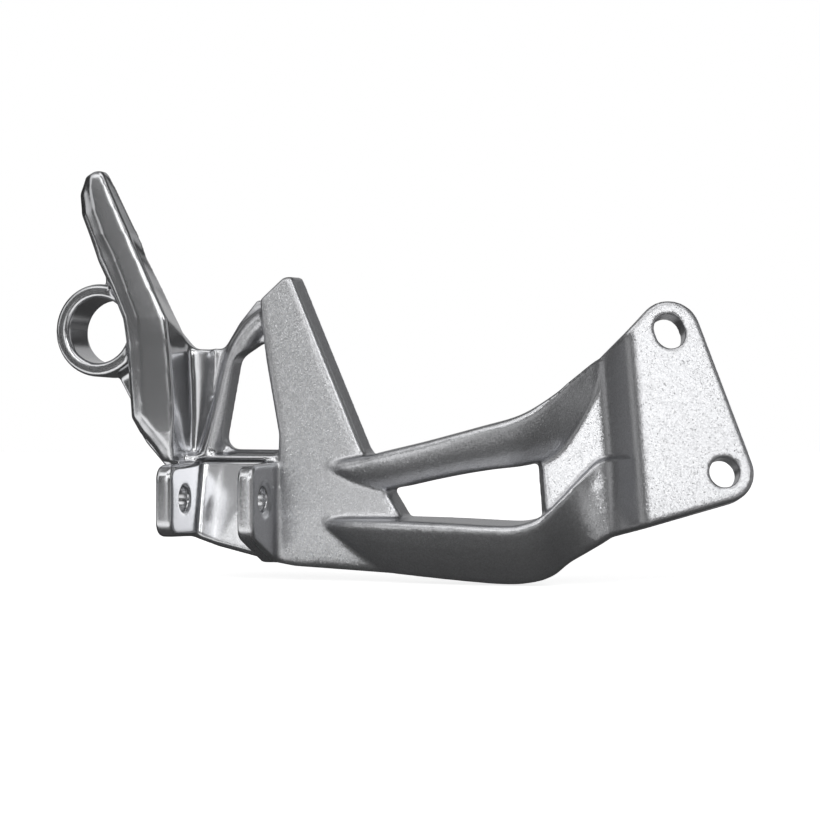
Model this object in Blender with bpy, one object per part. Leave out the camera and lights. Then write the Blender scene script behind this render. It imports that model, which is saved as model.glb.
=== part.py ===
# Motorcycle footrest hanger, cast in one piece.
#
# A drilled mounting plate bolts to the frame.  A joggle brings two sculpted
# arms out from it to a triangular blade, and the blade carries the clevis
# that holds the footrest, a slanting heel guard and a ring for a rubber bush.
#
# Metres, +Z up, +X towards the plate, -Y outboard.  The origin lies on the
# plate's back face, half way between its two bolt holes.

import math

import bmesh
import bpy
import numpy as np
from mathutils import Matrix, Vector

# Mounting plate, in its own frame: x along the plate, y into it, z up it
PLATE_YAW = 19.0
PLATE_PITCH = 11.0
PLATE_THICKNESS = 0.0085
BOLT_SPACING = 0.0485
BOLT_LINE_LEAN = 18.8
BOLT_HOLE = 0.0096
BOLT_SLOT_LENGTH = 0.0114
UPPER_BOSS_RADIUS = 0.0102
LOWER_BOSS_RADIUS = 0.0096
PLATE_TOP_EDGE_ANGLE = 133.3
PLATE_SIDE_EDGE_ANGLE = 18.5
PLATE_LOWER_EDGE_ANGLE = -72.2
PLATE_EDGE_ROUND = 0.0012

# Joggle between the plate and the web that joins the arms
JOGGLE_STEP = 0.0111
JOGGLE_SLOPE = 45.0
JOGGLE_LEAN = 2.5
JOGGLE_FOOT_X = -0.0177
JOGGLE_INNER_RADIUS = 0.0070
JOGGLE_OUTER_RADIUS = 0.0060
WEB_END_X = -0.0515

# Flat back that the blade, the arms, the clevis base and the web share
BACK_Y = -0.0320

# Triangular blade
BLADE_FACE_Y = -0.0420
BLADE_POCKET_DEPTH = 0.0050
BLADE_EDGE_ROUND = 0.0012
BLADE_LEFT_ROUND = 0.0026
BLADE_DRAFT = 3.0

# Arms
ARM_SLOPE = 31.0
ARM_NOSE_RADIUS = 0.0016
ARM_FOOT_RADIUS = 0.0012
ARM_WALL_DRAFT = 2.0
ARM_BULGE = 0.2
ARM_WALL = 0.0038

# Footrest clevis
CLEVIS_GAP = 0.0218
EAR_THICKNESS = 0.0055
EAR_END_Y = -0.0630
EAR_TOP_Z = -0.0188
EAR_BOTTOM_Z = -0.0412
EAR_CORNER_RADIUS = 0.0045
PIN_HOLE = 0.0080
PIN_FROM_EAR_END = 0.0110
PIN_Z = -0.0296
SPOT_FACE = 0.0118
SPOT_FACE_DEPTH = 0.0008
CLEVIS_RIGHT_X = -0.1268
FLOOR_TOP_Y = -0.0370
FLOOR_BOTTOM_Y = -0.0422

# Bush ring
RING_X = -0.1888
RING_Z = 0.0252
RING_BORE = 0.0214
RING_OUTER = 0.0306
RING_FRONT_Y = -0.0440
RING_WIDTH = 0.0160
RING_CHAMFER = 0.0010

# Heel guard
GUARD_ROUND_DEPTH = 0.0050
GUARD_RIDGE_ROUND = 0.0006

# Web between the heel guard and the blade
WEB_FRONT_Y = -0.0365
WEB_EDGE_ROUND = 0.0006

ARC_STEPS = 6
HOLE_FACETS = 40


def arc(center, radius, start, end, steps=ARC_STEPS):
    """Points along an arc, angles in degrees."""
    angles = np.radians(np.linspace(start, end, steps + 1))
    return [(center[0] + radius * math.cos(a), center[1] + radius * math.sin(a)) for a in angles]


def rounded(corners, steps=ARC_STEPS):
    """An outline whose corners (u, v, radius) are replaced by tangent arcs."""
    points = []
    count = len(corners)
    for i, (u, v, radius) in enumerate(corners):
        here = Vector((u, v))
        if radius == 0:
            points.append((u, v))
            continue
        before = (Vector(corners[i - 1][:2]) - here).normalized()
        after = (Vector(corners[(i + 1) % count][:2]) - here).normalized()
        half = before.angle(after) / 2
        bisector = (before + after).normalized()
        middle = here + bisector * (radius / math.sin(half))
        first = here + before * (radius / math.tan(half)) - middle
        last = here + after * (radius / math.tan(half)) - middle
        turn = first.angle_signed(last)
        start = math.atan2(first.y, first.x)
        for k in range(steps + 1):
            a = start - turn * k / steps
            points.append((middle.x + radius * math.cos(a), middle.y + radius * math.sin(a)))
    return points


def smooth_path(controls, steps):
    """A curve through the control points, as rows of the same width."""
    rows = np.array(controls, float)
    ends = np.vstack([2 * rows[0] - rows[1], rows, 2 * rows[-1] - rows[-2]])
    out = []
    for i in range(1, len(ends) - 2):
        p0, p1, p2, p3 = ends[i - 1:i + 3]
        for k in range(steps):
            t = k / steps
            out.append(0.5 * (2 * p1 + (p2 - p0) * t + (2 * p0 - 5 * p1 + 4 * p2 - p3) * t * t
                              + (3 * p1 - p0 - 3 * p2 + p3) * t ** 3))
    out.append(rows[-1])
    return out


def inset(outline, distance):
    """The outline moved inwards by a distance (outwards if negative)."""
    points = [Vector(p) for p in outline]
    area = sum(a.x * b.y - b.x * a.y for a, b in zip(points, points[1:] + points[:1]))
    side = 1 if area > 0 else -1
    moved = []
    for i, here in enumerate(points):
        into = (here - points[i - 1]).normalized()
        out = (points[(i + 1) % len(points)] - here).normalized()
        normal = (Vector((-into.y, into.x)) + Vector((-out.y, out.x))).normalized() * side
        spread = max(0.35, normal.dot(Vector((-into.y, into.x)) * side))
        moved.append(here + normal * (distance / spread))
    return moved


def add_object(name, bm, parent=None):
    """Turn a bmesh into an object with outward faces, smooth except at its edges."""
    bmesh.ops.recalc_face_normals(bm, faces=bm.faces)
    mesh = bpy.data.meshes.new(name)
    bm.to_mesh(mesh)
    bm.free()
    mesh.shade_smooth()
    mesh.set_sharp_from_angle(angle=math.radians(35))
    obj = bpy.data.objects.new(name, mesh)
    bpy.context.scene.collection.objects.link(obj)
    obj.parent = parent
    return obj


def lofted(name, sections, parent=None):
    """A closed solid through a row of sections that have equally many points."""
    bm = bmesh.new()
    rings = [[bm.verts.new(p) for p in section] for section in sections]
    for ring, following in zip(rings, rings[1:]):
        count = len(ring)
        for i in range(count):
            j = (i + 1) % count
            bm.faces.new((ring[i], ring[j], following[j], following[i]))
    bm.faces.new(rings[0])
    bm.faces.new(rings[-1])
    return add_object(name, bm, parent)


def cast_slab(name, outline, front, back, edge, draft=0.0, parent=None):
    """A slab facing -Y with its front edge rounded and its sides drafted outwards."""
    sections = []
    for k in range(4):
        a = math.radians(30 * k)
        ring = inset(outline, edge * (1 - math.sin(a)))
        sections.append([(p.x, front + edge * (1 - math.cos(a)), p.y) for p in ring])
    spread = (back - front) * math.tan(math.radians(draft))
    sections.append([(p.x, back, p.y) for p in inset(outline, -spread)])
    return lofted(name, sections, parent)


def prism(name, outline, low, high, axis, parent=None):
    """An outline extruded along X, Y or Z between two places."""
    place = {"X": lambda u, v, w: (w, u, v), "Y": lambda u, v, w: (u, w, v), "Z": lambda u, v, w: (u, v, w)}
    sections = [[place[axis](p[0], p[1], w) for p in outline] for w in (low, high)]
    return lofted(name, sections, parent)


def cylinder(name, radius, length, matrix, parent=None):
    """A round cutter about its own Z, centred on the matrix."""
    bm = bmesh.new()
    bmesh.ops.create_cone(bm, cap_ends=True, segments=HOLE_FACETS, radius1=radius, radius2=radius,
                          depth=length, matrix=matrix)
    return add_object(name, bm, parent)


def combine(target, feature, operation):
    """Join a feature to the target, or cut it out, and keep it as a hidden guide."""
    modifier = target.modifiers.new(feature.name, "BOOLEAN")
    modifier.operation = operation
    modifier.solver = "EXACT"
    modifier.object = feature
    feature.hide_render = True
    feature.display_type = "WIRE"


def join(target, feature):
    combine(target, feature, "UNION")


def cut(target, feature):
    combine(target, feature, "DIFFERENCE")


ALONG_Y = Matrix.Rotation(math.radians(90), 4, "X")
ALONG_X = Matrix.Rotation(math.radians(90), 4, "Y")


# Mounting plate with its joggle

def plate_frame():
    """An empty on the plate's back face, turned as the plate stands on the machine."""
    frame = bpy.data.objects.new("plate_frame", None)
    bpy.context.scene.collection.objects.link(frame)
    frame.rotation_euler = (math.radians(-PLATE_PITCH), 0, math.radians(PLATE_YAW))
    return frame


def bolt_positions():
    """Upper and lower bolt hole centres in the plate's frame, as (x, z)."""
    lean = math.radians(BOLT_LINE_LEAN)
    reach = BOLT_SPACING / 2
    upper = (-reach * math.sin(lean), reach * math.cos(lean))
    return upper, (-upper[0], -upper[1])


def joggle_depth(x):
    """How far the sheet stands out at x: nothing on the plate, one step at the arms."""
    slope = math.radians(JOGGLE_SLOPE)
    inner = JOGGLE_INNER_RADIUS
    outer = JOGGLE_OUTER_RADIUS
    rise_inner = inner * (1 - math.cos(slope))
    rise_outer = outer * (1 - math.cos(slope))
    run_inner = inner * math.sin(slope)
    run_outer = outer * math.sin(slope)
    run_slope = (JOGGLE_STEP - rise_inner - rise_outer) / math.tan(slope)
    u = JOGGLE_FOOT_X - x
    if u <= 0:
        return 0.0
    if u < run_inner:
        return inner - math.sqrt(inner ** 2 - u ** 2)
    if u < run_inner + run_slope:
        return rise_inner + (u - run_inner) * math.tan(slope)
    if u < run_inner + run_slope + run_outer:
        left = run_inner + run_slope + run_outer - u
        return JOGGLE_STEP - outer + math.sqrt(outer ** 2 - left ** 2)
    return JOGGLE_STEP


def joggle_width():
    """The joggle's run along the plate, from its foot to its shoulder."""
    slope = math.radians(JOGGLE_SLOPE)
    radii = JOGGLE_INNER_RADIUS + JOGGLE_OUTER_RADIUS
    run_arcs = radii * math.sin(slope)
    rise_arcs = radii * (1 - math.cos(slope))
    return run_arcs + (JOGGLE_STEP - rise_arcs) / math.tan(slope)


def plate_outline():
    """Round bosses about the bolt holes, joined by straight edges, and the web's end."""
    upper, lower = bolt_positions()
    outline = arc(upper, UPPER_BOSS_RADIUS, PLATE_TOP_EDGE_ANGLE, PLATE_SIDE_EDGE_ANGLE, 12)
    outline += arc(lower, LOWER_BOSS_RADIUS, PLATE_SIDE_EDGE_ANGLE, PLATE_LOWER_EDGE_ANGLE, 10)
    web = [(-0.0186, -0.0404), (-0.0253, -0.0427), (-0.0318, -0.0449), (-0.0350, -0.0390),
           (-0.0400, -0.0370), (-0.0460, -0.0400), (WEB_END_X + 0.0008, -0.0430),
           (WEB_END_X - 0.0004, -0.0180), (-0.0450, -0.0030), (-0.0340, 0.0098), (-0.0255, 0.0190)]
    return outline + web


def make_plate(frame):
    """The plate, its joggle and the web, as one bent sheet."""
    sheet = cast_slab("plate_sheet", plate_outline(), -PLATE_THICKNESS, 0.0, PLATE_EDGE_ROUND, 0, frame)
    bm = bmesh.new()
    bm.from_mesh(sheet.data)
    fold_lines = np.linspace(JOGGLE_FOOT_X, JOGGLE_FOOT_X - joggle_width(), 15)
    lean = math.tan(math.radians(JOGGLE_LEAN))
    for x in fold_lines:
        geometry = bm.verts[:] + bm.edges[:] + bm.faces[:]
        bmesh.ops.bisect_plane(bm, geom=geometry, dist=1e-6, plane_co=(x, 0, 0), plane_no=(1, 0, lean))
    for vertex in bm.verts:
        vertex.co.y -= joggle_depth(vertex.co.x + vertex.co.z * lean)
    bm.to_mesh(sheet.data)
    bm.free()
    return sheet


def make_bolt_holes(frame):
    """The lower hole is round, the upper one is a short slot that points at it."""
    upper, lower = bolt_positions()
    radius = BOLT_HOLE / 2
    stretch = (BOLT_SLOT_LENGTH - BOLT_HOLE) / 2
    along = 90 + BOLT_LINE_LEAN
    direction = Vector((math.cos(math.radians(along)), math.sin(math.radians(along))))
    high = Vector(upper) + direction * stretch
    low = Vector(upper) - direction * stretch
    slot = arc(high, radius, along + 90, along - 90, 14) + arc(low, radius, along - 90, along - 270, 14)
    reach = PLATE_THICKNESS * 2
    return [prism("upper_bolt_slot", slot, -reach, reach, "Y", frame),
            prism("lower_bolt_hole", arc(lower, radius, 0, 351, 39), -reach, reach, "Y", frame)]


# Arms

def arm_face(y, z, drop, slope):
    """Where an arm's front face starts under its nose, its direction, and its length."""
    lean = math.radians(slope)
    reach = ARM_NOSE_RADIUS * (1 + math.sin(lean))
    start = Vector((y + ARM_NOSE_RADIUS * (1 - math.cos(lean)), z - reach))
    down = Vector((math.sin(lean), -math.cos(lean)))
    length = max(drop - reach - ARM_FOOT_RADIUS, 0.0003) / math.cos(lean)
    return start, down, length


def arm_section(x, y, z, drop, back, slope):
    """An arm's section: a round nose on the crest and a face that slopes back to its foot."""
    nose = ARM_NOSE_RADIUS
    foot = ARM_FOOT_RADIUS
    rise = (back - y) * math.tan(math.radians(ARM_WALL_DRAFT))
    points = [(x, back, z + rise)]
    for k in range(5):
        a = math.radians(90 + k * (90 + slope) / 4)
        points.append((x, y + nose + nose * math.cos(a), z - nose + nose * math.sin(a)))
    start, down, length = arm_face(y, z, drop, slope)
    outward = Vector((down.y, -down.x))
    for share in (0.33, 0.66, 1.0):
        place = start + down * (length * share) + outward * (ARM_BULGE * length * share * (1 - share))
        points.append((x, place.x, place.y))
    end = start + down * length
    points.append((x, end.x + foot, end.y - foot * 0.8))
    points.append((x, max(back, end.x + foot * 1.4), end.y - foot * 0.7))
    return points


def pocket_section(x, y, z, drop, back, slope):
    """The hollow behind an arm: its section moved in by the wall, and open at the back."""
    start, down, _ = arm_face(y, z, drop, slope)
    inner = start + Vector((-down.y, down.x)) * ARM_WALL
    levels = (z - ARM_WALL, z - drop + ARM_WALL)
    front = [inner.x + (inner.y - level) * math.tan(math.radians(slope)) for level in levels]
    open_back = back + 0.002
    return [(x, open_back, levels[0]), (x, front[0], levels[0]), (x, front[1], levels[1]),
            (x, open_back, levels[1])]


# Each station: x, crest y, crest z, height of the face, back y, slope of the face
UPPER_ARM = [(-0.1120, -0.0412, -0.0180, 0.0020, BACK_Y, ARM_SLOPE),
             (-0.1045, -0.0443, -0.0173, 0.0060, BACK_Y, ARM_SLOPE),
             (-0.0970, -0.0465, -0.0160, 0.0105, BACK_Y, ARM_SLOPE),
             (-0.0878, -0.0496, -0.0140, 0.0122, BACK_Y, ARM_SLOPE),
             (-0.0764, -0.0515, -0.0115, 0.0123, BACK_Y, ARM_SLOPE),
             (-0.0668, -0.0524, -0.0091, 0.0128, BACK_Y, ARM_SLOPE),
             (-0.0573, -0.0525, -0.0066, 0.0138, BACK_Y, ARM_SLOPE),
             (-0.0458, -0.0515, -0.0033, 0.0156, BACK_Y, 33.0),
             (-0.0373, -0.0465, 0.0024, 0.0178, -0.0300, 27.0),
             (-0.0318, -0.0388, 0.0081, 0.0161, -0.0280, 16.0),
             (-0.0283, -0.0326, 0.0120, 0.0134, -0.0250, 3.0),
             (-0.0266, -0.0294, 0.0138, 0.0113, -0.0230, -5.0),
             (-0.0256, -0.0272, 0.0147, 0.0080, -0.0200, -8.0),
             (-0.0248, -0.0246, 0.0152, 0.0062, -0.0180, -8.0)]

LOWER_ARM = [(-0.1125, -0.0412, -0.0360, 0.0020, BACK_Y, ARM_SLOPE),
             (-0.1086, -0.0434, -0.0359, 0.0040, BACK_Y, ARM_SLOPE),
             (-0.1022, -0.0466, -0.0356, 0.0095, BACK_Y, ARM_SLOPE),
             (-0.0952, -0.0494, -0.0356, 0.0145, BACK_Y, ARM_SLOPE),
             (-0.0903, -0.0512, -0.0356, 0.0170, BACK_Y, ARM_SLOPE),
             (-0.0817, -0.0530, -0.0357, 0.0178, BACK_Y, ARM_SLOPE),
             (-0.0658, -0.0545, -0.0361, 0.0186, BACK_Y, ARM_SLOPE),
             (-0.0538, -0.0546, -0.0366, 0.0188, BACK_Y, ARM_SLOPE),
             (-0.0460, -0.0538, -0.0364, 0.0188, BACK_Y, ARM_SLOPE),
             (-0.0391, -0.0518, -0.0337, 0.0198, BACK_Y, 31.0),
             (-0.0341, -0.0466, -0.0284, 0.0210, -0.0300, 29.0),
             (-0.0295, -0.0420, -0.0230, 0.0236, -0.0285, 16.0),
             (-0.0250, -0.0380, -0.0180, 0.0258, -0.0250, -1.0),
             (-0.0218, -0.0356, -0.0166, 0.0250, -0.0220, -7.0),
             (-0.0196, -0.0325, -0.0164, 0.0240, -0.0200, -12.0),
             (-0.0174, -0.0262, -0.0164, 0.0232, -0.0150, -17.0),
             (-0.0154, -0.0192, -0.0165, 0.0225, -0.0100, -17.0),
             (-0.0136, -0.0150, -0.0166, 0.0220, -0.0080, -14.0)]


def make_arm(name, controls):
    """One arm, rising out of the blade's face and fairing into the joggle."""
    return lofted(name, [arm_section(*row) for row in smooth_path(controls, 3)])


def make_pockets(name, controls, spans):
    """The cells behind an arm, one between each pair of stiffening ribs."""
    rows = smooth_path(controls, 6)
    cells = []
    for number, (low, high) in enumerate(spans):
        inside = [row for row in rows if low <= row[0] <= high]
        cells.append(lofted(f"{name}_pocket_{number + 1}", [pocket_section(*row) for row in inside]))
    return cells


# Blade

def blade_outline():
    return rounded([(-0.1330, 0.0342, 0.0015), (-0.1250, 0.0412, 0.0020), (-0.1219, 0.0414, 0.0012),
                    (-0.0986, -0.0132, 0), (-0.0859, -0.0339, 0), (-0.0815, -0.0420, 0),
                    (-0.0860, -0.0528, 0.0015), (-0.1212, -0.0510, 0), (-0.1285, -0.0498, 0.0020),
                    (-0.1272, -0.0200, 0), (-0.1268, -0.0090, 0), (-0.1310, 0.0138, 0)])


def make_blade():
    blade = cast_slab("hanger_casting", blade_outline(), BLADE_FACE_Y, BACK_Y, BLADE_EDGE_ROUND, BLADE_DRAFT)
    cut(blade, make_blade_round())
    return blade


def make_blade_round():
    """Cuts the wider round of the blade's left edge, beside the window and the clevis."""
    r = BLADE_LEFT_ROUND
    outside = 0.002
    sections = []
    for x, z in [(-0.1336, 0.0300), (-0.1310, 0.0138), (-0.1268, -0.0090), (-0.1272, -0.0200),
                 (-0.1292, -0.0540)]:
        section = [(x - outside, BLADE_FACE_Y + r), (x - outside, BLADE_FACE_Y - outside),
                   (x + r, BLADE_FACE_Y - outside)]
        section += arc((x + r, BLADE_FACE_Y + r), r, 270, 180, 5)
        sections.append([(u, v, z) for u, v in section])
    return lofted("blade_left_round", sections)


def make_blade_pocket():
    """The shallow hollow behind the blade's upper part."""
    outline = rounded([(-0.1275, 0.0300, 0.0025), (-0.1212, 0.0300, 0.0025), (-0.1048, -0.0090, 0.0030),
                       (-0.1226, -0.0090, 0.0030), (-0.1270, 0.0138, 0)])
    return prism("blade_pocket", outline, BACK_Y - BLADE_POCKET_DEPTH, BACK_Y + 0.002, "Y")


# Clevis

def clevis_positions():
    """X of the left ear's outer and inner faces and the right ear's inner and outer faces."""
    right_outer = CLEVIS_RIGHT_X
    right_inner = right_outer - EAR_THICKNESS
    left_inner = right_inner - CLEVIS_GAP
    return left_inner - EAR_THICKNESS, left_inner, right_inner, right_outer


def base_section(x, bottom):
    """The clevis floor leans, nearer at the bottom, so that the footrest folds upwards."""
    return [(x, BACK_Y, -0.0160), (x, FLOOR_TOP_Y, -0.0160), (x, FLOOR_TOP_Y, -0.0172),
            (x, FLOOR_BOTTOM_Y, bottom + 0.0012), (x, FLOOR_BOTTOM_Y + 0.0012, bottom),
            (x, BACK_Y, bottom)]


def make_clevis_base():
    left, left_inner, right_inner, right = clevis_positions()
    stations = [(left + 0.0005, -0.0410), (left_inner, -0.0429), (left_inner + 0.0070, -0.0452),
                (right_inner, -0.0487), (right + 0.0015, -0.0500)]
    return lofted("clevis_base", [base_section(*s) for s in stations])


def ear(name, x_low, outline):
    """An ear with its outline's edges softened on both faces."""
    soft = 0.0007
    layers = [(x_low, soft), (x_low + soft, 0), (x_low + EAR_THICKNESS - soft, 0), (x_low + EAR_THICKNESS, soft)]
    return lofted(name, [[(x, p.x, p.y) for p in inset(outline, d)] for x, d in layers])


def make_ears():
    left, left_inner, right_inner, right = clevis_positions()
    root = BACK_Y - 0.0030
    r = EAR_CORNER_RADIUS
    left_outline = rounded([(EAR_END_Y, EAR_TOP_Z, r), (root, EAR_TOP_Z + 0.0010, 0),
                            (root, EAR_BOTTOM_Z - 0.0010, 0), (EAR_END_Y, EAR_BOTTOM_Z, r)])
    right_outline = rounded([(EAR_END_Y, EAR_TOP_Z, r), (root, EAR_TOP_Z + 0.0010, 0), (root, -0.0500, 0),
                             (BLADE_FACE_Y, -0.0500, 0.002), (EAR_END_Y, EAR_BOTTOM_Z, r)])
    return ear("left_ear", left, left_outline), ear("right_ear", right_inner, right_outline)


def make_pin_bore():
    """The pin hole through both ears, and the spot face for its head."""
    left, _, _, right = clevis_positions()
    y = EAR_END_Y + PIN_FROM_EAR_END
    middle = Matrix.Translation(((left + right) / 2, y, PIN_Z))
    bore = cylinder("pin_bore", PIN_HOLE / 2, (right - left) * 1.3, middle @ ALONG_X)
    face = Matrix.Translation((right + 0.002 - SPOT_FACE_DEPTH, y, PIN_Z))
    spot = cylinder("pin_spot_face", SPOT_FACE / 2, 0.004, face @ ALONG_X)
    return bore, spot


def make_rail():
    """The lip over the clevis, which the footrest's root stops against."""
    left, _, _, right = clevis_positions()
    outline = rounded([(-0.0412, -0.0157, 0.0005), (BACK_Y - 0.002, -0.0150, 0),
                       (BACK_Y - 0.002, -0.0176, 0), (-0.0412, -0.0170, 0.0005)], 3)
    return prism("clevis_rail", outline, left - 0.0005, right + 0.0008, "X")


# Ring

def make_ring():
    """The bush ring, turned from its section."""
    bm = bmesh.new()
    inner = RING_BORE / 2 - 0.001
    outer = RING_OUTER / 2
    c = RING_CHAMFER
    front = RING_FRONT_Y
    back = front + RING_WIDTH
    section = [(inner, front), (outer - c, front), (outer - 0.3 * c, front + 0.3 * c), (outer, front + c),
               (outer, back - c), (outer - 0.3 * c, back - 0.3 * c), (outer - c, back), (inner, back)]
    verts = [bm.verts.new((RING_X + r, y, RING_Z)) for r, y in section]
    edges = [bm.edges.new((a, b)) for a, b in zip(verts, verts[1:] + verts[:1])]
    bmesh.ops.spin(bm, geom=verts + edges, cent=(RING_X, 0, RING_Z), axis=(0, 1, 0),
                   angle=math.tau, steps=48, use_merge=True)
    bmesh.ops.remove_doubles(bm, verts=bm.verts, dist=1e-6)
    return add_object("bush_ring", bm)


def make_ring_bore():
    """The bore, with a chamfer at both mouths."""
    bm = bmesh.new()
    r = RING_BORE / 2
    c = 0.0008
    front = RING_FRONT_Y
    back = front + RING_WIDTH
    section = [(0, front - 0.002), (r + c + 0.002, front - 0.002), (r, front + c), (r, back - c),
               (r + c + 0.002, back + 0.002), (0, back + 0.002)]
    verts = [bm.verts.new((RING_X + u, y, RING_Z)) for u, y in section]
    edges = [bm.edges.new((a, b)) for a, b in zip(verts, verts[1:])]
    bmesh.ops.spin(bm, geom=verts + edges, cent=(RING_X, 0, RING_Z), axis=(0, 1, 0),
                   angle=math.tau, steps=48, use_merge=True)
    bmesh.ops.remove_doubles(bm, verts=bm.verts, dist=1e-6)
    return add_object("ring_bore", bm)


# Heel guard: a beam that leans back above the ring and stands upright below it.
# Each station: z, left side, left ridge, right ridge, right foot, front, back

GUARD = [(0.0772, -0.1900, -0.1885, -0.1862, -0.1858, -0.0468, -0.0430),
         (0.0755, -0.1928, -0.1905, -0.1850, -0.1844, -0.0476, -0.0430),
         (0.0700, -0.1950, -0.1902, -0.1824, -0.1814, -0.0481, -0.0430),
         (0.0630, -0.1944, -0.1884, -0.1790, -0.1778, -0.0485, -0.0430),
         (0.0557, -0.1912, -0.1853, -0.1753, -0.1740, -0.0490, -0.0430),
         (0.0478, -0.1882, -0.1810, -0.1713, -0.1711, -0.0495, -0.0425),
         (0.0385, -0.1832, -0.1770, -0.1667, -0.1671, -0.0500, -0.0400),
         (0.0285, -0.1786, -0.1729, -0.1616, -0.1641, -0.0505, -0.0350),
         (0.0240, -0.1779, -0.1725, -0.1611, -0.1619, -0.0503, -0.0350),
         (0.0184, -0.1773, -0.1721, -0.1607, -0.1590, -0.0499, -0.0350),
         (0.0056, -0.1767, -0.1717, -0.1600, -0.1583, -0.0492, -0.0350),
         (-0.0036, -0.1762, -0.1711, -0.1598, -0.1580, -0.0487, -0.0350),
         (-0.0085, -0.1735, -0.1668, -0.1602, -0.1582, -0.0484, -0.0350),
         (-0.0130, -0.1692, -0.1630, -0.1607, -0.1580, -0.0480, -0.0350),
         (-0.0180, -0.1655, -0.1618, -0.1603, -0.1575, -0.0470, -0.0350)]


def guard_section(z, left, left_ridge, right_ridge, right_foot, front, back):
    """A flat front, a wide round on the left and a drafted wall on the right."""
    soft = min(GUARD_RIDGE_ROUND, (right_ridge - left_ridge) / 4)
    points = [(left_ridge + soft, front, z), (right_ridge - soft, front, z), (right_ridge, front + soft, z),
              (right_foot, back, z), (left + soft, back, z)]
    depth = min(GUARD_ROUND_DEPTH, (back - front) * 0.9)
    for k in range(4):
        a = math.radians(90 - 30 * k)
        points.append((left_ridge - (left_ridge - left) * math.sin(a),
                       front + soft + (depth - soft) * (1 - math.cos(a)), z))
    return points


def make_guard():
    return lofted("heel_guard", [guard_section(*row) for row in GUARD])


# Web with its window, arch rib and flute

def web_outline():
    return rounded([(RING_X - 0.0012, RING_Z + 0.0218, 0), (RING_X - 0.0007, RING_Z + 0.0128, 0),
                    (RING_X - 0.0007, RING_Z - 0.0127, 0), (RING_X + 0.0043, RING_Z - 0.0157, 0.0025),
                    (-0.1800, 0.0015, 0), (-0.1785, -0.0060, 0.0040), (-0.1748, -0.0118, 0),
                    (-0.1677, -0.0197, 0), (-0.1590, -0.0270, 0), (-0.1265, -0.0270, 0),
                    (-0.1275, 0.0345, 0), (-0.1358, 0.0345, 0), (-0.1420, 0.0272, 0.010),
                    (-0.1474, 0.0186, 0.0040), (-0.1583, 0.0190, 0.0050), (-0.1645, 0.0262, 0.008),
                    (-0.1693, 0.0366, 0), (-0.1762, 0.0490, 0), (-0.1800, 0.0495, 0)])


def window_outline():
    return rounded([(-0.1330, 0.0215, 0.0025), (-0.1420, 0.0158, 0.0050), (-0.1476, -0.0138, 0.0040),
                    (-0.1240, -0.0140, 0), (-0.1240, 0.0080, 0)])


def rib(name, path, half_width, height, base):
    """A rounded rib that stands on the web along a path of (x, z) points."""
    sections = []
    for i, point in enumerate(path):
        before = Vector(path[max(i - 1, 0)])
        after = Vector(path[min(i + 1, len(path) - 1)])
        along = (after - before).normalized()
        across = Vector((along.y, -along.x))
        ring = []
        for k in range(7):
            a = math.radians(30 * k)
            offset = across * (half_width * math.cos(a))
            ring.append((point[0] + offset.x, base - height * math.sin(a), point[1] + offset.y))
        for side in (-1, 1):
            offset = across * (half_width * side)
            ring.append((point[0] + offset.x, base + 0.002, point[1] + offset.y))
        sections.append(ring)
    return lofted(name, sections)


def make_web():
    web = cast_slab("left_web", web_outline(), WEB_FRONT_Y, BACK_Y, WEB_EDGE_ROUND)
    arch = smooth_path([(-0.1300, 0.0300), (-0.1355, 0.0262), (-0.1398, 0.0212), (-0.1430, 0.0150),
                        (-0.1452, 0.0070), (-0.1475, -0.0020), (-0.1500, -0.0100), (-0.1520, -0.0160)], 3)
    flute = smooth_path([(-0.1500, 0.0190), (-0.1503, 0.0112), (-0.1512, 0.0044), (-0.1522, -0.0021),
                         (-0.1536, -0.0092), (-0.1548, -0.0160)], 3)
    join(web, rib("arch_rib", [tuple(p) for p in arch], 0.0036, 0.0045, WEB_FRONT_Y))
    join(web, rib("flute_rib", [tuple(p) for p in flute], 0.0011, 0.0009, WEB_FRONT_Y))
    cut(web, prism("web_window", window_outline(), -0.060, -0.020, "Y"))
    return web


def silver_paint():
    """Bright silver paint over the cast alloy."""
    material = bpy.data.materials.new("silver_paint")
    material.use_nodes = True
    shader = material.node_tree.nodes["Principled BSDF"]
    shader.inputs["Base Color"].default_value = (0.62, 0.63, 0.65, 1)
    shader.inputs["Metallic"].default_value = 0.85
    shader.inputs["Roughness"].default_value = 0.35
    return material


def build():
    for obj in list(bpy.data.objects):
        bpy.data.objects.remove(obj)
    frame = plate_frame()
    casting = make_blade()
    casting.data.materials.append(silver_paint())
    upper = make_arm("upper_arm", UPPER_ARM)
    lower = make_arm("lower_arm", LOWER_ARM)
    join(casting, upper)
    join(casting, lower)
    join(casting, make_plate(frame))
    join(casting, make_web())
    join(casting, make_guard())
    join(casting, make_ring())
    join(casting, make_clevis_base())
    for feature in make_ears():
        join(casting, feature)
    join(casting, make_rail())
    cut(casting, make_blade_pocket())
    for pocket in make_pockets("upper_arm", UPPER_ARM, [(-0.082, -0.064), (-0.060, -0.043)]):
        cut(casting, pocket)
    for pocket in make_pockets("lower_arm", LOWER_ARM, [(-0.088, -0.066), (-0.062, -0.040)]):
        cut(casting, pocket)
    for hole in make_bolt_holes(frame):
        cut(casting, hole)
    for hole in make_pin_bore():
        cut(casting, hole)
    cut(casting, make_ring_bore())


build()
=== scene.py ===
import math

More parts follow.
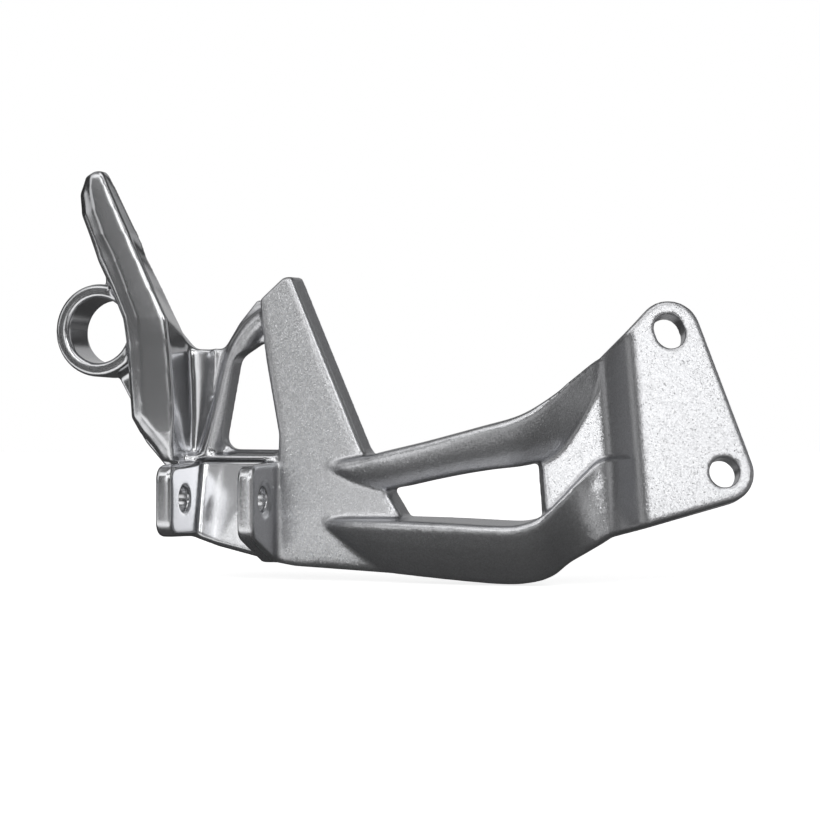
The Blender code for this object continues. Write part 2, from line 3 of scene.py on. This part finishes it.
import bmesh
import bpy
import numpy as np
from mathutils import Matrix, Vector


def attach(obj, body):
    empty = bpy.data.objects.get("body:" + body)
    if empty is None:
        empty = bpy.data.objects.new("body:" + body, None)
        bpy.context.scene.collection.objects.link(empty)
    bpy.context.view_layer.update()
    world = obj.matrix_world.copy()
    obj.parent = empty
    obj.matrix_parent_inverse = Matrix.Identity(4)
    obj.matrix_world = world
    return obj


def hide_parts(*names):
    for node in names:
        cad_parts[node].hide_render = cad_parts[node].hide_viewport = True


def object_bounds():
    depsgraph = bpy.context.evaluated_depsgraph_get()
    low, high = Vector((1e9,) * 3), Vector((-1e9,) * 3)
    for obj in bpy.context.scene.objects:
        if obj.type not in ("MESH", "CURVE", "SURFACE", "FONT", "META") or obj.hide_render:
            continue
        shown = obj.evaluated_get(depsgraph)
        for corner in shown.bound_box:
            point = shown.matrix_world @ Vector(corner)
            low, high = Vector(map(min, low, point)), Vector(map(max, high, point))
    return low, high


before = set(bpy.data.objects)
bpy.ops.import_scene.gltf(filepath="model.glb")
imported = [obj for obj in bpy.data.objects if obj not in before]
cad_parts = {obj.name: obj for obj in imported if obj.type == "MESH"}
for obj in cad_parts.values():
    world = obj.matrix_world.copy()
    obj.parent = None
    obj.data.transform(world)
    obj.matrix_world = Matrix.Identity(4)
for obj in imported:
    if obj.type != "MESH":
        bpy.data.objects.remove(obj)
cad_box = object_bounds()


# Hanger casting: one piece of aluminium that bolts to the frame by its plate and holds a footrest.  Its
# mould leaves fillets and soft edges, and its holes are machined.  The silver flake paint lies glossy on
# the heel guard, web, ring and clevis, and coarser and satin on the blade, arms and plate.

MERGE_DISTANCE = 1e-6
SKIN_VOXEL = 0.00055
SKIN_TRIANGLES = 170000

# Each round moves a point by a share of its way to its neighbours' mean: at most HOLLOW_SHARE in an inner
# corner, EDGE_SHARE on an outer edge, and CREST_SHARE on the arms' crests.
SMOOTHING_ROUNDS = 26
HOLLOW_SHARE = 0.6
EDGE_SHARE = 0.08
CREST_SHARE = 0.45

# Fillets are widest on the web, left of WEB_SIDE and above WEB_FOOT.
WEB_SIDE = -0.134
WEB_SIDE_RUN = 0.006
WEB_FOOT = -0.017
WEB_FOOT_RUN = 0.004
WEB_FILLET = 1.0
BODY_FILLET = 0.30
HOLE_FILLET = 0.10

# The arms' crests, the rounded front edges between the blade and the joggle.
ARMS_LEFT = -0.118
ARMS_RIGHT = -0.030
ARMS_RUN = 0.006
CREST_Y = -0.0395
CREST_RUN = 0.002

# Machined holes, each with its centre, its axis and the radius that keeps crisp edges.
HOLE_REACH = 0.022
BOLT_AXIS = (0.3196, -0.9281, 0.1908)
UPPER_BOLT_HOLE = ((-0.0075, -0.0023, 0.0233), BOLT_AXIS, 0.0072)
LOWER_BOLT_HOLE = ((0.0102, -0.0055, -0.0217), BOLT_AXIS, 0.0064)
PIN_HOLES = ((-0.1432, -0.0520, -0.0296), (1.0, 0.0, 0.0), 0.0068)
RING_BORE = ((-0.1888, -0.0360, 0.0252), (0.0, 1.0, 0.0), 0.0128)


def rise(values, start, run):
    """0 up to a start, 1 after a run from there, and even between."""
    return np.clip((values - start) / run, 0, 1)


def fillet_share(points):
    """How much of an inner corner is filled at each point."""
    web = rise(-points[:, 0], -WEB_SIDE, WEB_SIDE_RUN) * rise(points[:, 2], WEB_FOOT, WEB_FOOT_RUN)
    share = BODY_FILLET + (WEB_FILLET - BODY_FILLET) * web
    for centre, axis, radius in (UPPER_BOLT_HOLE, LOWER_BOLT_HOLE, PIN_HOLES, RING_BORE):
        axis = np.array(axis)
        offset = points - np.array(centre)
        along = offset @ axis
        across = np.linalg.norm(offset - along[:, None] * axis, axis=1)
        share[(across < radius) & (np.abs(along) < HOLE_REACH)] = HOLE_FILLET
    return HOLLOW_SHARE * share


def edge_share(points):
    """How much of an outer edge is rounded at each point."""
    arms = rise(points[:, 0], ARMS_LEFT, ARMS_RUN) * rise(-points[:, 0], -ARMS_RIGHT, ARMS_RUN)
    return EDGE_SHARE + (CREST_SHARE - EDGE_SHARE) * arms * rise(-points[:, 1], -CREST_Y, CREST_RUN)


def smooth_as_cast(mesh):
    """Fills inner corners with fillets and softens outer edges, by steps towards the neighbours' mean."""
    count = len(mesh.vertices)
    points = np.empty(count * 3)
    mesh.vertices.foreach_get("co", points)
    points = points.reshape(-1, 3)
    edges = np.empty(len(mesh.edges) * 2, dtype=np.int64)
    mesh.edges.foreach_get("vertices", edges)
    first, second = edges.reshape(-1, 2).T
    degree = np.bincount(first, minlength=count) + np.bincount(second, minlength=count)
    inner, outer = fillet_share(points), edge_share(points)
    for _ in range(SMOOTHING_ROUNDS):
        mean = np.empty_like(points)
        for k in range(3):
            total = np.bincount(first, points[second, k], count)
            total += np.bincount(second, points[first, k], count)
            mean[:, k] = total / degree
        step = mean - points
        mesh.vertices.foreach_set("co", points.ravel())
        mesh.update()
        normals = np.empty(count * 3)
        mesh.vertices.foreach_get("normal", normals)
        hollow = np.einsum("ij,ij->i", step, normals.reshape(-1, 3)) > 0
        points = points + step * np.where(hollow, inner, outer)[:, None]
    mesh.vertices.foreach_set("co", points.ravel())
    mesh.update()


def applied(obj):
    """The object's mesh with its modifiers, which are then removed."""
    graph = bpy.context.evaluated_depsgraph_get()
    made = bpy.data.meshes.new_from_object(obj.evaluated_get(graph))
    obj.modifiers.clear()
    return made


bm = bmesh.new()
bm.from_mesh(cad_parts["hanger_casting"].data)
bmesh.ops.remove_doubles(bm, verts=bm.verts, dist=MERGE_DISTANCE)
start = bpy.data.meshes.new("hanger_skin_start")
bm.to_mesh(start)
bm.free()
skin = bpy.data.objects.new("hanger_skin", start)
bpy.context.scene.collection.objects.link(skin)
remesh = skin.modifiers.new("skin", "REMESH")
remesh.mode = "VOXEL"
remesh.voxel_size = SKIN_VOXEL
skin.data = applied(skin)
smooth_as_cast(skin.data)
triangles = 2 * len(skin.data.polygons)
fewer = skin.modifiers.new("fewer", "DECIMATE")
fewer.ratio = min(1.0, SKIN_TRIANGLES / triangles)
skin.data = applied(skin)
skin.data.shade_smooth()
skin.data.name = "hanger_skin"

# The paint.  Pairs of values are for its glossy and its satin parts, and its colour darkens where the
# surface turns away, as flake paint does.
METALLIC = 0.92
ROUGHNESS = (0.20, 0.34)
COAT_WEIGHT = (0.8, 0.15)
COAT_ROUGHNESS = 0.08
COAT_IOR = 1.5
SILVER = (0.70, 0.705, 0.72, 1)
TURNED_SILVER = (0.32, 0.325, 0.35, 1)
TURN_BLEND = 0.35
FLAKE_SIZE = 0.00034
CLOUD_SIZE = 0.0008
CLOUD_DETAIL = 3
FLAKE_CONTRAST = (0.06, 0.18)
FLAKE_TILT = (0.012, 0.09)
SPARKLE_FROM = 0.65
SPARKLE_TILT = 3.5

# The paint turns satin over these spans: towards the right at the blade, and on the arch also upwards.
BLADE_SIDE = (-0.134, -0.122)
ARCH_SIDE = (-0.153, -0.147)
ARCH_FOOT = (-0.018, -0.012)

# The places of a Mix node's colour sockets.
MIX_A = 6
MIX_B = 7
MIX_RESULT = 2


def maths(tree, operation, *values):
    """A piece of arithmetic on numbers and other nodes' outputs."""
    node = tree.nodes.new("ShaderNodeMath")
    node.operation = operation
    for socket, value in zip(node.inputs, values):
        if isinstance(value, bpy.types.NodeSocket):
            tree.links.new(value, socket)
        else:
            socket.default_value = value
    return node.outputs[0]


def ramp_group():
    """A mask that rises from 0 to 1 between two places along an axis."""
    group = bpy.data.node_groups.new("axis_ramp", "ShaderNodeTree")
    group.interface.new_socket("Axis", in_out="INPUT", socket_type="NodeSocketVector")
    for name in ("From", "To"):
        group.interface.new_socket(name, in_out="INPUT", socket_type="NodeSocketFloat")
    group.interface.new_socket("Mask", in_out="OUTPUT", socket_type="NodeSocketFloat")
    nodes, links = group.nodes, group.links
    given = nodes.new("NodeGroupInput")
    result = nodes.new("NodeGroupOutput")
    place = nodes.new("ShaderNodeTexCoord")
    reach = nodes.new("ShaderNodeVectorMath")
    reach.operation = "DOT_PRODUCT"
    ramp = nodes.new("ShaderNodeMapRange")
    ramp.interpolation_type = "SMOOTHSTEP"
    links.new(place.outputs["Object"], reach.inputs[0])
    links.new(given.outputs["Axis"], reach.inputs[1])
    links.new(reach.outputs["Value"], ramp.inputs["Value"])
    links.new(given.outputs["From"], ramp.inputs["From Min"])
    links.new(given.outputs["To"], ramp.inputs["From Max"])
    links.new(ramp.outputs["Result"], result.inputs["Mask"])
    return group


def flake_group():
    """Flakes in the paint: a brightness near 1, and normals that tilt from flake to flake."""
    group = bpy.data.node_groups.new("metal_flake", "ShaderNodeTree")
    for name in ("Contrast", "Tilt"):
        group.interface.new_socket(name, in_out="INPUT", socket_type="NodeSocketFloat")
    group.interface.new_socket("Brightness", in_out="OUTPUT", socket_type="NodeSocketFloat")
    group.interface.new_socket("Normal", in_out="OUTPUT", socket_type="NodeSocketVector")
    nodes, links = group.nodes, group.links
    given = nodes.new("NodeGroupInput")
    result = nodes.new("NodeGroupOutput")
    place = nodes.new("ShaderNodeTexCoord")
    flakes = nodes.new("ShaderNodeTexVoronoi")
    flakes.inputs["Scale"].default_value = 1 / FLAKE_SIZE
    clouds = nodes.new("ShaderNodeTexNoise")
    clouds.inputs["Scale"].default_value = 1 / CLOUD_SIZE
    clouds.inputs["Detail"].default_value = CLOUD_DETAIL
    split = nodes.new("ShaderNodeSeparateColor")
    links.new(place.outputs["Object"], flakes.inputs["Vector"])
    links.new(place.outputs["Object"], clouds.inputs["Vector"])
    links.new(flakes.outputs["Color"], split.inputs["Color"])

    uneven = maths(group, "ADD", split.outputs["Red"], clouds.outputs["Fac"])
    uneven = maths(group, "SUBTRACT", uneven, 1.0)
    brightness = maths(group, "MULTIPLY_ADD", uneven, given.outputs["Contrast"], 1.0)
    links.new(brightness, result.inputs["Brightness"])

    sparkle = nodes.new("ShaderNodeMapRange")
    sparkle.inputs["From Min"].default_value = SPARKLE_FROM
    sparkle.inputs["To Min"].default_value = 1.0
    sparkle.inputs["To Max"].default_value = SPARKLE_TILT
    links.new(split.outputs["Green"], sparkle.inputs["Value"])
    direction = nodes.new("ShaderNodeTexWhiteNoise")
    links.new(flakes.outputs["Position"], direction.inputs["Vector"])
    lean = nodes.new("ShaderNodeVectorMath")
    lean.operation = "SUBTRACT"
    lean.inputs[1].default_value = (0.5, 0.5, 0.5)
    links.new(direction.outputs["Color"], lean.inputs[0])
    tilt = nodes.new("ShaderNodeVectorMath")
    tilt.operation = "SCALE"
    links.new(lean.outputs[0], tilt.inputs[0])
    amount = maths(group, "MULTIPLY", sparkle.outputs["Result"], given.outputs["Tilt"])
    links.new(amount, tilt.inputs["Scale"])
    surface = nodes.new("ShaderNodeNewGeometry")
    leaning = nodes.new("ShaderNodeVectorMath")
    leaning.operation = "ADD"
    links.new(tilt.outputs[0], leaning.inputs[0])
    links.new(surface.outputs["Normal"], leaning.inputs[1])
    unit = nodes.new("ShaderNodeVectorMath")
    unit.operation = "NORMALIZE"
    links.new(leaning.outputs[0], unit.inputs[0])
    links.new(unit.outputs[0], result.inputs["Normal"])
    return group


def axis_mask(tree, ramps, axis, span):
    """The ramp group, set to rise over a span along an axis."""
    ramp = tree.nodes.new("ShaderNodeGroup")
    ramp.node_tree = ramps
    ramp.inputs["Axis"].default_value = axis
    ramp.inputs["From"].default_value, ramp.inputs["To"].default_value = span
    return ramp.outputs["Mask"]


def glossy_to_satin(tree, satin, pair, socket):
    """Feeds a socket with the first of a pair where the paint is glossy and the second where it is satin."""
    amount = tree.nodes.new("ShaderNodeMapRange")
    amount.inputs["To Min"].default_value, amount.inputs["To Max"].default_value = pair
    tree.links.new(satin, amount.inputs["Value"])
    tree.links.new(amount.outputs["Result"], socket)


paint = bpy.data.materials.new("silver_flake_paint")
paint.use_nodes = True
tree = paint.node_tree
shader = tree.nodes["Principled BSDF"]
shader.inputs["Metallic"].default_value = METALLIC
shader.inputs["Coat Roughness"].default_value = COAT_ROUGHNESS
shader.inputs["Coat IOR"].default_value = COAT_IOR

ramps = ramp_group()
blade = axis_mask(tree, ramps, (1, 0, 0), BLADE_SIDE)
arch = maths(tree, "MULTIPLY", axis_mask(tree, ramps, (1, 0, 0), ARCH_SIDE),
             axis_mask(tree, ramps, (0, 0, 1), ARCH_FOOT))
satin = maths(tree, "MAXIMUM", blade, arch)
flake = tree.nodes.new("ShaderNodeGroup")
flake.node_tree = flake_group()
glossy_to_satin(tree, satin, FLAKE_CONTRAST, flake.inputs["Contrast"])
glossy_to_satin(tree, satin, FLAKE_TILT, flake.inputs["Tilt"])
glossy_to_satin(tree, satin, ROUGHNESS, shader.inputs["Roughness"])
glossy_to_satin(tree, satin, COAT_WEIGHT, shader.inputs["Coat Weight"])

turn = tree.nodes.new("ShaderNodeLayerWeight")
turn.inputs["Blend"].default_value = TURN_BLEND
silver = tree.nodes.new("ShaderNodeMix")
silver.data_type = "RGBA"
silver.inputs[MIX_A].default_value = SILVER
silver.inputs[MIX_B].default_value = TURNED_SILVER
speckled = tree.nodes.new("ShaderNodeMix")
speckled.data_type = "RGBA"
speckled.blend_type = "MULTIPLY"
speckled.inputs["Factor"].default_value = 1.0
tree.links.new(turn.outputs["Facing"], silver.inputs["Factor"])
tree.links.new(silver.outputs[MIX_RESULT], speckled.inputs[MIX_A])
tree.links.new(flake.outputs["Brightness"], speckled.inputs[MIX_B])
tree.links.new(speckled.outputs[MIX_RESULT], shader.inputs["Base Color"])
tree.links.new(flake.outputs["Normal"], shader.inputs["Normal"])

skin.data.materials.clear()
skin.data.materials.append(paint)
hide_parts("hanger_casting")
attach(skin, "root")


# Floor: a plain pale sheet just under the casting.  For reflections it is painted darker than the camera
# sees it, and it glows in painted bands of light, one in front of the casting and one behind, that only
# reflections see.

FLOOR_DROP = 0.0004
FLOOR_RADIUS = 6.0
FLOOR_SIDES = 96
FLOOR_MIDDLE_X = -0.09
FLOOR_TONE = 0.80
FLOOR_ROUGHNESS = 0.9
FLOOR_SPECULAR = 0.1

# A painted band of glow fades in over its NEAR span and out over its FAR span, in metres from the plate, and
# goes from its left to its right light over its SIDES span.  REST is the floor's painted glow outside the
# bands.
FRONT_NEAR = (0.070, 0.110)
FRONT_FAR = (0.22, 0.34)
FRONT_SIDES = (-0.13, -0.07)
FRONT_LIGHT = (1.1, 0.42)
BEHIND_NEAR = (0.03, 0.14)
BEHIND_FAR = (0.20, 0.30)
BEHIND_SIDES = (-0.14, -0.06)
BEHIND_LIGHT = (0, 0.40)
REST_SIDES = (0.00, 0.11)
REST_LIGHT = (0.05, 0.12)


def ramp_along(tree, vector, axis, places, values):
    """A value that goes from one to another between two places along an axis."""
    reach = tree.nodes.new("ShaderNodeVectorMath")
    reach.operation = "DOT_PRODUCT"
    reach.inputs[1].default_value = axis
    ramp = tree.nodes.new("ShaderNodeMapRange")
    ramp.interpolation_type = "SMOOTHSTEP"
    ramp.inputs["From Min"].default_value, ramp.inputs["From Max"].default_value = places
    ramp.inputs["To Min"].default_value, ramp.inputs["To Max"].default_value = values
    tree.links.new(vector, reach.inputs[0])
    tree.links.new(reach.outputs["Value"], ramp.inputs["Value"])
    return ramp.outputs["Result"]


def painted_glow_band(tree, place, toward, near, far, sides, light):
    """A painted band of glow across the floor, between a near and a far edge, with a light for each side."""
    band = maths(tree, "MULTIPLY", ramp_along(tree, place, toward, near, (0, 1)),
                 ramp_along(tree, place, toward, far, (1, 0)))
    return maths(tree, "MULTIPLY", band, ramp_along(tree, place, (1, 0, 0), sides, light))


floor_mesh = bpy.data.meshes.new("floor")
bm = bmesh.new()
bmesh.ops.create_circle(bm, cap_ends=True, segments=FLOOR_SIDES, radius=FLOOR_RADIUS)
bmesh.ops.translate(bm, verts=bm.verts, vec=(FLOOR_MIDDLE_X, 0, cad_box[0][2] - FLOOR_DROP))
bm.to_mesh(floor_mesh)
bm.free()
floor = bpy.data.objects.new("floor", floor_mesh)
bpy.context.scene.collection.objects.link(floor)

pale = bpy.data.materials.new("pale_floor")
pale.use_nodes = True
tree = pale.node_tree
shader = tree.nodes["Principled BSDF"]
shader.inputs["Roughness"].default_value = FLOOR_ROUGHNESS
shader.inputs["Specular IOR Level"].default_value = FLOOR_SPECULAR
shader.inputs["Emission Color"].default_value = (1, 1, 1, 1)
# Painted shade in reflections: the floor's colour is black for glossy rays, so the paint mirrors it dark
# apart from its painted glow.
path = tree.nodes.new("ShaderNodeLightPath")
seen = tree.nodes.new("ShaderNodeMix")
seen.data_type = "RGBA"
seen.inputs[MIX_A].default_value = (FLOOR_TONE, FLOOR_TONE, FLOOR_TONE, 1)
seen.inputs[MIX_B].default_value = (0, 0, 0, 1)
tree.links.new(path.outputs["Is Glossy Ray"], seen.inputs["Factor"])
tree.links.new(seen.outputs[MIX_RESULT], shader.inputs["Base Color"])

place = tree.nodes.new("ShaderNodeTexCoord").outputs["Object"]
# Painted light: bands where the floor glows for glossy rays only, standing in for lamps in the paint's
# reflections.
front = painted_glow_band(tree, place, (0, -1, 0), FRONT_NEAR, FRONT_FAR, FRONT_SIDES, FRONT_LIGHT)
behind = painted_glow_band(tree, place, (0, 1, 0), BEHIND_NEAR, BEHIND_FAR, BEHIND_SIDES, BEHIND_LIGHT)
rest = ramp_along(tree, place, (1, 0, 0), REST_SIDES, REST_LIGHT)
painted_glow_in_reflections = maths(tree, "ADD", maths(tree, "ADD", front, behind), rest)
painted_glow_in_reflections = maths(tree, "MULTIPLY", painted_glow_in_reflections, path.outputs["Is Glossy Ray"])
glow = maths(tree, "MULTIPLY_ADD", path.outputs["Is Camera Ray"], FLOOR_TONE, painted_glow_in_reflections)
tree.links.new(glow, shader.inputs["Emission Strength"])
floor_mesh.materials.append(pale)


# Studio light: soft panels round the casting in a faintly lit room, with a white background for the
# camera.  Each panel has a left and right azimuth and a bottom and top elevation in degrees, then the
# softness of its edges and its radiance.  Azimuth 0 is straight in front, and 90 is at the right.

ROOM_AXIS = (0, -0.243, 0.970)
ROOM_REACH = (0.3, 1.0)
ROOM_RADIANCE = (0.01, 0.11)
BACKGROUND = 1.0
PANELS = [
    (16, 43, 14, 33, 0.05, 2.85),       # high at the right, for the plate
    (-20, 0, -10, 18, 0.04, 1.35),      # low in front, for the blade and clevis
    (-16, 8, 15, 30, 0.05, 2.1),        # above that one
    (-66, -38, 3, 50, 0.05, 0.8),       # at the left, for the heel guard
    (-40, -16, 24, 46, 0.06, 1.3),      # high at the left
    (-105, -64, 34, 64, 0.08, 0.4),     # far left, for the guard's flank
    (-30, 60, 46, 88, 0.10, 1.4),       # overhead, for the arms' crests
    (72, 106, -10, 32, 0.08, 0.4),      # at the right, for the joggle
    (128, 150, -8, 40, 0.04, 0.5),      # behind at the right
    (166, 232, -8, 40, 0.04, 0.5),      # behind
]


def lit_panel(tree, toward, left, right, bottom, top, soft, radiance):
    """The light of one panel in a world direction."""
    a, b = math.radians(left), math.radians(right)
    low, high = math.sin(math.radians(bottom)), math.sin(math.radians(top))
    value = radiance
    for axis, edge in [((math.cos(a), math.sin(a), 0), 0.0), ((-math.cos(b), -math.sin(b), 0), 0.0),
                       ((0, 0, 1), low), ((0, 0, -1), -high)]:
        mask = ramp_along(tree, toward, axis, (edge - soft, edge + soft), (0, 1))
        value = maths(tree, "MULTIPLY", value, mask)
    return value


studio = bpy.data.worlds.new("studio")
bpy.context.scene.world = studio
studio.use_nodes = True
tree = studio.node_tree
toward = tree.nodes.new("ShaderNodeTexCoord").outputs["Generated"]
light = ramp_along(tree, toward, ROOM_AXIS, ROOM_REACH, ROOM_RADIANCE)
for panel in PANELS:
    light = maths(tree, "ADD", light, lit_panel(tree, toward, *panel))
path = tree.nodes.new("ShaderNodeLightPath")
shown = tree.nodes.new("ShaderNodeMix")
shown.inputs["B"].default_value = BACKGROUND
tree.links.new(path.outputs["Is Camera Ray"], shown.inputs["Factor"])
tree.links.new(light, shown.inputs["A"])
background = tree.nodes["Background"]
background.inputs["Color"].default_value = (1, 1, 1, 1)
tree.links.new(shown.outputs["Result"], background.inputs["Strength"])
bpy.context.scene.view_settings.view_transform = "Standard"


# Camera: level with the casting and a little to its right, where the two bolt holes, the pin holes and
# the ring fall as they do in the photograph.

TARGET = Vector((-0.0825, -0.0420, -0.0015))
CAMERA_DISTANCE = 0.550
CAMERA_AZIMUTH = 16.0
CAMERA_ELEVATION = -1.0
FOCAL_PIXELS = 1760.0
PHOTO_PIXELS = 820.0
SENSOR_WIDTH = 36.0
CLIP_START = 0.01

camera_data = bpy.data.cameras.new("camera")
camera_data.sensor_width = SENSOR_WIDTH
camera_data.lens = FOCAL_PIXELS / PHOTO_PIXELS * SENSOR_WIDTH
camera_data.clip_start = CLIP_START
camera = bpy.data.objects.new("camera", camera_data)
bpy.context.scene.collection.objects.link(camera)
azimuth = math.radians(CAMERA_AZIMUTH)
elevation = math.radians(CAMERA_ELEVATION)
back = Vector((math.sin(azimuth) * math.cos(elevation), -math.cos(azimuth) * math.cos(elevation),
               math.sin(elevation)))
camera.location = TARGET + back * CAMERA_DISTANCE
camera.rotation_mode = "QUATERNION"
camera.rotation_quaternion = (-back).to_track_quat("-Z", "Y")
bpy.context.scene.camera = camera
